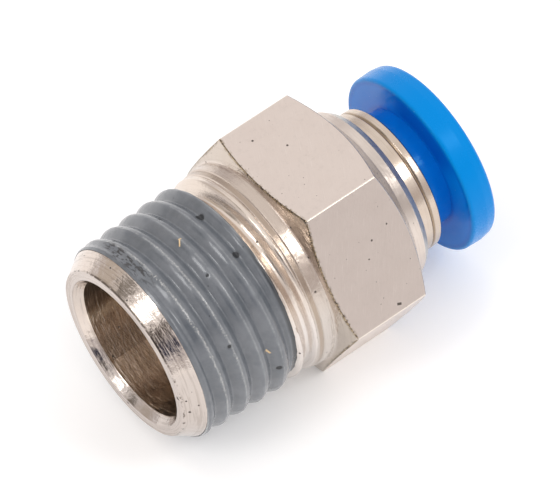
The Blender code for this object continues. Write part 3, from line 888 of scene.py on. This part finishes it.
def make_body(material):
    angle = body_angles()
    sides = hexagon_radius(angle)
    outlines = {}
    for side in sides:
        key = round(float(side), 5)
        if key not in outlines:
            outlines[key] = outline(body_corners(float(side)))
    stack = np.stack([outlines[round(float(side), 5)] for side in sides], 1)
    station, radius = stack[..., 0], stack[..., 1]
    turn = np.repeat(angle[None, :], len(station), 0)
    thread = inside(station, (COAT_START - 0.005, COLLAR_START - 0.03)) & (radius > 5.0)
    radius = np.where(thread, body_thread(station, turn), radius)
    side_row = sides[None, :]
    flat = (np.abs(radius - side_row) < FLAT_TOLERANCE) & inside(station, FLAT_SPAN)
    bend = inside(station, BEND_SPAN) & (radius > side_row - BEND_REACH) & ~flat
    psi = around_corner(turn, math.pi / 3)
    edge = bend * (np.abs(psi) > math.radians(CLEAR_OF_CORNER))
    # the narrow flat at each corner, which the nickel plate paints with a highlight
    corner = flat * (np.abs(psi) < math.radians(CORNER_HALF_ANGLE))
    wear = EDGE_WEAR - EDGE_CALM * ramp(station, *EDGE_CALM_FADE)
    radius = radius - bend * np.abs(waver(station, radius, turn, *EDGE_WAVES)) * wear
    outer = radius > 5.4
    radius = radius - outer * (~thread) * (waver(station, radius, turn, SKIN_WAVE) + SKIN_DEPTH)
    mouth = (station < COAT_START) & (radius > 4.6)
    radius = radius + mouth * waver(station, radius, turn, MOUTH_WAVE)
    radius = radius - outer * dents(station, radius, turn, RIM_MARKS)
    body = ring_object("body_plated", station, radius, turn, flat=flat, edge=edge, corner=corner)
    dress(body, "fitting_body", "nickel_plate", material, "body")


def make_coat(material):
    step = PITCH / COAT_ROWS_PER_PITCH
    middle = list(np.arange(COAT_START + step, COAT_END - step, step))
    outer = [COAT_START - COAT_OVERHANG] + middle + [COAT_END]
    inner = [s for s in thread_stations() if s < COAT_END - 0.02] + [COAT_END - 0.01]
    stations = np.array(outer[::-1] + inner)
    station = np.repeat(stations[:, None], COAT_COLUMNS, 1)
    turn = np.repeat(even_turns(COAT_COLUMNS)[None, :], len(stations), 0)
    is_outer = (np.arange(len(stations)) < len(outer))[:, None]
    top = coat_radius(np.maximum(station, COAT_START), turn)
    top = top + waver(station, top, turn, *COAT_WAVES)
    thick = np.maximum(top - thread_radius(station, turn) - END_FILM, 0.0)
    top = top - thick * ramp(station, COAT_END - END_THINNING, COAT_END)
    top = top - END_DROP * bell(COAT_END - station, END_DROP_WIDTH)
    ragged = np.abs(waver(station, np.full(station.shape, RAGGED_RADIUS), turn, RAGGED_WAVE))
    ragged = ragged * ramp(station, COAT_END - RAGGED_LENGTH, COAT_END)
    station = np.where(is_outer, station - ragged, station)
    bottom = thread_radius(station, turn) + COAT_CLEARANCE
    radius = np.where(is_outer, np.maximum(top, bottom + COAT_THINNEST), bottom)
    hollow = is_outer * dents(station, radius, turn, COAT_PITS)
    coat = ring_object("sealant_coat", station, radius - hollow, turn, pit=hollow / PIT_DEPTH)
    dress(coat, "fitting_body", "thread_sealant", material, "thread_sealant")


def make_guide_ring(material):
    flange, start = GUIDE_FLANGE_RADIUS, BOSS_END + 0.05
    corners = [
        (GUIDE_END, flange, 0.14, 3), (GUIDE_GROOVE + GUIDE_GROOVE_HALF, flange, 0.05, 0),
        (GUIDE_GROOVE, flange - GUIDE_GROOVE_DEPTH, 0.05, 0),
        (GUIDE_GROOVE - GUIDE_GROOVE_HALF, flange, 0.05, 5),
        (start, flange, 0.05, 1), (start, SLEEVE_RADIUS, 0.02, 4), (GUIDE_START, SLEEVE_RADIUS, 0.06, 2),
        (GUIDE_START, GUIDE_WIDE_BORE, 0.05, 4), (GUIDE_SHOULDER, GUIDE_WIDE_BORE, 0.03, 1),
        (GUIDE_SHOULDER, GUIDE_BORE, 0.05, 5), (GUIDE_END, GUIDE_BORE, 0.10, 2)]
    ring = turned("guide_ring_plated", corners, columns=256, steps=FINE_STEPS)
    dress(ring, "fitting_body", "nickel_plate_bright", material, "guide_ring")


def make_release_ring(material):
    radius = RELEASE_RADIUS
    corners = [
        (LENGTH, 5.20, 0.30, 2), (LENGTH - 0.04, radius - 0.10, 0.28, 2), (22.0, radius, 0.6, 3),
        (FLANGE_BACK, radius - 0.04, 0.20, 6), (FLANGE_BACK, STEM_RADIUS, 0.0, 9),
        (LIP_END, STEM_RADIUS, 0.03, 1), (LIP_END, LIP_RADIUS, 0.04, 2),
        (LIP_END - 0.40, LIP_RADIUS, 0.05, 2), (LIP_END - 0.80, 3.62, 0.06, 5),
        (RELEASE_TIP, 3.22, 0.06, 1), (RELEASE_TIP, RELEASE_BORE, 0.05, 14),
        (22.0, RELEASE_BORE, 0.20, 3), (LENGTH, RELEASE_MOUTH_RADIUS, 0.18, 4)]
    ring = turned("release_ring_moulded", corners, columns=256, steps=FINE_STEPS)
    for turn in SLOT_TURNS:
        cut_slot(ring, math.radians(turn))
    dress(ring, "release", "blue_acetal", material, "release_ring")


def cut_slot(ring, turn):
    """Parts the stem and nose into spring legs with a thin blade."""
    form = bmesh.new()
    bmesh.ops.create_cube(form, size=1.0)
    start = RELEASE_TIP - SLOT_LEAD
    size = Matrix.Diagonal(((SLOT_END - start) * MM, SLOT_BLADE_BREADTH * MM, SLOT_WIDTH * MM, 1.0))
    middle = Vector((MOUTH_X + (start + SLOT_END) / 2 * MM, 0.0, 0.0))
    place = Matrix.Translation(middle) @ Matrix.Rotation(turn, 4, "X")
    bmesh.ops.transform(form, matrix=place @ size, verts=form.verts)
    blade_mesh = bpy.data.meshes.new("slot_blade")
    form.to_mesh(blade_mesh)
    form.free()
    blade = bpy.data.objects.new("slot_blade", blade_mesh)
    bpy.context.scene.collection.objects.link(blade)
    cut = ring.modifiers.new("slot", "BOOLEAN")
    cut.operation, cut.solver, cut.object = "DIFFERENCE", "EXACT", blade
    solid = bpy.data.meshes.new_from_object(ring.evaluated_get(bpy.context.evaluated_depsgraph_get()))
    ring.modifiers.clear()
    ring.data = solid
    solid.set_sharp_from_angle(angle=math.radians(40.0))
    bpy.data.objects.remove(blade)


def make_seal(material):
    start, end = station_of(seal_low.x), station_of(seal_high.x)
    groove = start + 0.85
    corners = [
        (end, SOCKET_PART_RADIUS, 0.08, 2), (start, SOCKET_PART_RADIUS, 0.10, 1), (start, 4.18, 0.06, 4),
        (groove, 3.98, 0.10, 1), (groove, 3.66, 0.10, 4), (start + 0.05, 3.38, 0.05, 2),
        (start + 0.12, 2.93, 0.06, 2), (start + 0.50, 3.04, 0.20, 4), (end, 3.20, 0.08, 4)]
    dress(turned("seal_lip_ring", corners), "fitting_body", "nitrile_rubber", material, "tube_seal")


def make_back_ring(material):
    start, end = station_of(back_low.x), station_of(back_high.x)
    corners = [
        (end, SOCKET_PART_RADIUS, 0.06, 3), (start, SOCKET_PART_RADIUS, 0.06, 3), (start, 3.15, 0.08, 1),
        (start + 0.35, 3.10, 0.05, 1), (start + 0.40, 3.85, 0.08, 4), (end, 4.20, 0.05, 1)]
    dress(turned("back_ring_moulded", corners), "fitting_body", "white_acetal", material, "back_ring")


def make_claw_ring(material):
    """A flat ring whose hole has one straight side for each tooth."""
    start, end = station_of(claw_low.x), station_of(claw_high.x)
    angle = even_turns(CLAW_COLUMNS)
    share = 2 * math.pi / TOOTH_COUNT
    psi = around_corner(angle, share)
    holes = np.minimum(CLAW_HOLE / np.cos(psi), CLAW_HOLE / math.cos(share / 2) - CLAW_HOLE_ROUND)
    rim = [(end, SOCKET_PART_RADIUS, 0.05, 2), (start, SOCKET_PART_RADIUS, 0.05, 4)]
    stack = np.stack([outline(rim + [(start, hole, 0.04, 1), (end, hole, 0.04, 4)]) for hole in holes], 1)
    ring = ring_object("claw_ring_stamped", stack[..., 0], stack[..., 1], angle[None, :])
    dress(ring, "claw", "spring_steel", material, "claw_ring")


def tooth_point(across, share, level):
    """Place on a tooth as (inward, sideways, upward) mm from its hinge; the tip follows the tube."""
    y = across * (TOOTH_ROOT_WIDTH + (TOOTH_TIP_WIDTH - TOOTH_ROOT_WIDTH) * share)
    lift = level * TOOTH_THICKNESS
    floor_radius = math.sqrt(max(TOOTH_BITE_RADIUS ** 2 - y * y, 0.0))
    reach = (TOOTH_HINGE_RADIUS + lift * math.cos(TOOTH_TILT) - floor_radius) / math.sin(TOOTH_TILT)
    along = min(TOOTH_LENGTH, reach) * share
    return along, y, lift + TOOTH_CROWN * math.sin(math.pi * share)


def make_tooth(number, material):
    """A tapered spring tab with a hollowed tip, hinged at the ring's hole."""
    hinge = (station_of(claw_low.x) + station_of(claw_high.x)) / 2
    around = 2 * math.pi * number / TOOTH_COUNT
    radial = Vector((0.0, math.cos(around), math.sin(around)))
    sideways = Vector((0.0, math.sin(around), -math.cos(around)))
    inward = Vector((-math.cos(TOOTH_TILT), 0.0, 0.0)) - radial * math.sin(TOOTH_TILT)
    upward = Vector((-math.sin(TOOTH_TILT), 0.0, 0.0)) + radial * math.cos(TOOTH_TILT)
    base = Vector((MOUTH_X + hinge * MM, 0.0, 0.0)) + radial * TOOTH_HINGE_RADIUS * MM
    form = bmesh.new()
    rows, columns = TOOTH_ROWS, TOOTH_COLUMNS
    grid = []
    for level in (0.5, -0.5):
        for row in range(rows):
            for column in range(columns):
                along, y, height = tooth_point(column / (columns - 1) - 0.5, row / (rows - 1), level)
                point = base + (inward * along + sideways * y + upward * height) * MM
                grid.append(form.verts.new(point))
    size = rows * columns
    for row in range(rows - 1):
        for column in range(columns - 1):
            a = row * columns + column
            loop = (a, a + 1, a + columns + 1, a + columns)
            form.faces.new([grid[corner] for corner in loop])
            form.faces.new([grid[size + corner] for corner in reversed(loop)])
    rim = list(range(columns)) + [row * columns + columns - 1 for row in range(1, rows)]
    rim += [(rows - 1) * columns + column for column in range(columns - 2, -1, -1)]
    rim += [row * columns for row in range(rows - 2, 0, -1)]
    for a, b in zip(rim, rim[1:] + rim[:1]):
        form.faces.new([grid[b], grid[a], grid[size + a], grid[size + b]])
    bmesh.ops.recalc_face_normals(form, faces=form.faces)
    rims = [e for e in form.edges if e.calc_face_angle(0.0) > math.radians(40.0)]
    bmesh.ops.bevel(form, geom=rims, offset=TOOTH_BEVEL * MM, segments=2, profile=0.5, affect="EDGES")
    name = f"claw_tooth_{number + 1}"
    mesh = bpy.data.meshes.new(name + "_stamped")
    form.to_mesh(mesh)
    form.free()
    tooth = mesh_object(name + "_stamped", mesh, 60.0)
    dress(tooth, f"tooth_{number + 1}", "spring_steel", material, name)


# ---- studio ---------------------------------------------------------------------------
LAMP_DISTANCE = 1.2
# lamps: name, azimuth, elevation, half angle, radiance
LAMPS = (("key_near", -56.0, 49.0, 8.6, 6.2), ("key_over_mouth", -178.0, 53.0, 10.5, 4.2))
# the tent by height, from -1 to 1: darker low down, and one colour below the horizon
TENT_FADE, TENT_LOW, TENT_HIGH = (0.20, 0.72), (0.79, 0.755, 0.765), (1.05, 1.02, 1.01)
HORIZON_FADE, HORIZON = (0.0, 0.1), (0.83, 0.81, 0.80)
# dim patches: azimuth, elevation, angle of the core, angle of the rim, colour
PATCHES = ((-134.0, 26.0, 11.0, 14.5, (0.01, 0.014, 0.05)),
           (-146.0, 37.0, 8.0, 11.5, (0.07, 0.055, 0.05)),
           (139.0, 44.0, 8.0, 14.0, (0.26, 0.235, 0.21)),
           (113.0, 26.0, 8.0, 22.0, (0.62, 0.56, 0.50)),
           (-69.0, 15.0, 4.0, 14.0, (0.68, 0.62, 0.60)))
FLOOR_RADIUS = 3.0
FLOOR_GAP = 0.00002
CAMERA_LENS = 394.4
CAMERA_RIGHT = (0.7847, -0.6158, -0.0723)
CAMERA_UP = (0.5182, 0.5875, 0.6216)
CAMERA_OFFSET = (-0.120495, -0.18589, 0.27601)


def direction(azimuth, elevation):
    a, e = math.radians(azimuth), math.radians(elevation)
    return Vector((math.cos(a) * math.cos(e), math.sin(a) * math.cos(e), math.sin(e)))


def soft_box(name, azimuth, elevation, half_angle, radiance):
    """A round area light that faces the origin and covers that half angle."""
    lamp = bpy.data.lights.new(name, "AREA")
    lamp.shape = "DISK"
    lamp.size = 2 * LAMP_DISTANCE * math.tan(math.radians(half_angle))
    lamp.energy = radiance * math.pi * math.pi * lamp.size ** 2 / 4
    obj = bpy.data.objects.new(name, lamp)
    towards = direction(azimuth, elevation)
    obj.location = towards * LAMP_DISTANCE
    obj.rotation_euler = towards.to_track_quat("Z", "Y").to_euler()
    bpy.context.scene.collection.objects.link(obj)


def make_world():
    """A pale tent, with a few dim patches for the metal to reflect."""
    world = bpy.data.worlds.new("studio_tent")
    world.use_nodes = True
    bpy.context.scene.world = world
    tent = Nodes(world.node_tree)
    towards = tent.node("TexCoord", output="Generated")
    height = tent.split(towards)[2]
    sky = tent.colour(height.fade(*TENT_FADE), TENT_LOW, TENT_HIGH)
    sky = tent.colour(height.fade(*HORIZON_FADE), HORIZON, sky)
    for azimuth, elevation, core, rim, tint in PATCHES:
        centre = direction(azimuth, elevation)
        dot = tent.node("VectorMath", [towards, centre], output="Value", operation="DOT_PRODUCT")
        share = dot.fade(math.cos(math.radians(rim)), math.cos(math.radians(core)))
        sky = tent.colour(share, sky, tint)
    background = tent.tree.nodes["Background"]
    tent.tree.links.new(sky.socket, background.inputs["Color"])
    background.inputs["Strength"].default_value = 1.0


def make_floor(material):
    form = bmesh.new()
    bmesh.ops.create_circle(form, cap_ends=True, segments=64, radius=FLOOR_RADIUS)
    mesh = bpy.data.meshes.new("studio_floor")
    form.to_mesh(mesh)
    form.free()
    floor = bpy.data.objects.new("studio_floor", mesh)
    bpy.context.scene.collection.objects.link(floor)
    mesh.materials.append(material)
    floor.location.z = cad_low.z - FLOOR_GAP


def make_camera():
    camera = bpy.data.cameras.new("camera")
    camera.lens = CAMERA_LENS
    camera.sensor_width = 36.0
    camera.clip_start = 0.01
    camera.clip_end = 20.0
    obj = bpy.data.objects.new("camera", camera)
    right = Vector(CAMERA_RIGHT).normalized()
    up = Vector(CAMERA_UP)
    up = (up - right * up.dot(right)).normalized()
    turn = Matrix((right, up, right.cross(up))).transposed()
    obj.rotation_euler = turn.to_euler()
    obj.location = (cad_low + cad_high) / 2 + Vector(CAMERA_OFFSET)
    bpy.context.scene.collection.objects.link(obj)
    bpy.context.scene.camera = obj


nickel = nickel_material()
bright = bright_nickel_material()
steel = steel_material()
rubber = plain_polymer("nitrile_rubber", (0.012, 0.012, 0.012), (0.022, 0.022, 0.023), 0.42, 1.2)
white = plain_polymer("white_acetal", (0.74, 0.73, 0.69), (0.82, 0.81, 0.77), 0.32, 0.9)

make_body(nickel)
make_coat(coat_material())
make_guide_ring(bright)
make_release_ring(blue_material())
make_seal(rubber)
make_back_ring(white)
make_claw_ring(steel)
for tooth_number in range(TOOTH_COUNT):
    make_tooth(tooth_number, steel)

make_world()
for lamp in LAMPS:
    soft_box(*lamp)
make_floor(floor_material())
make_camera()
bpy.context.scene.view_settings.view_transform = "Standard"
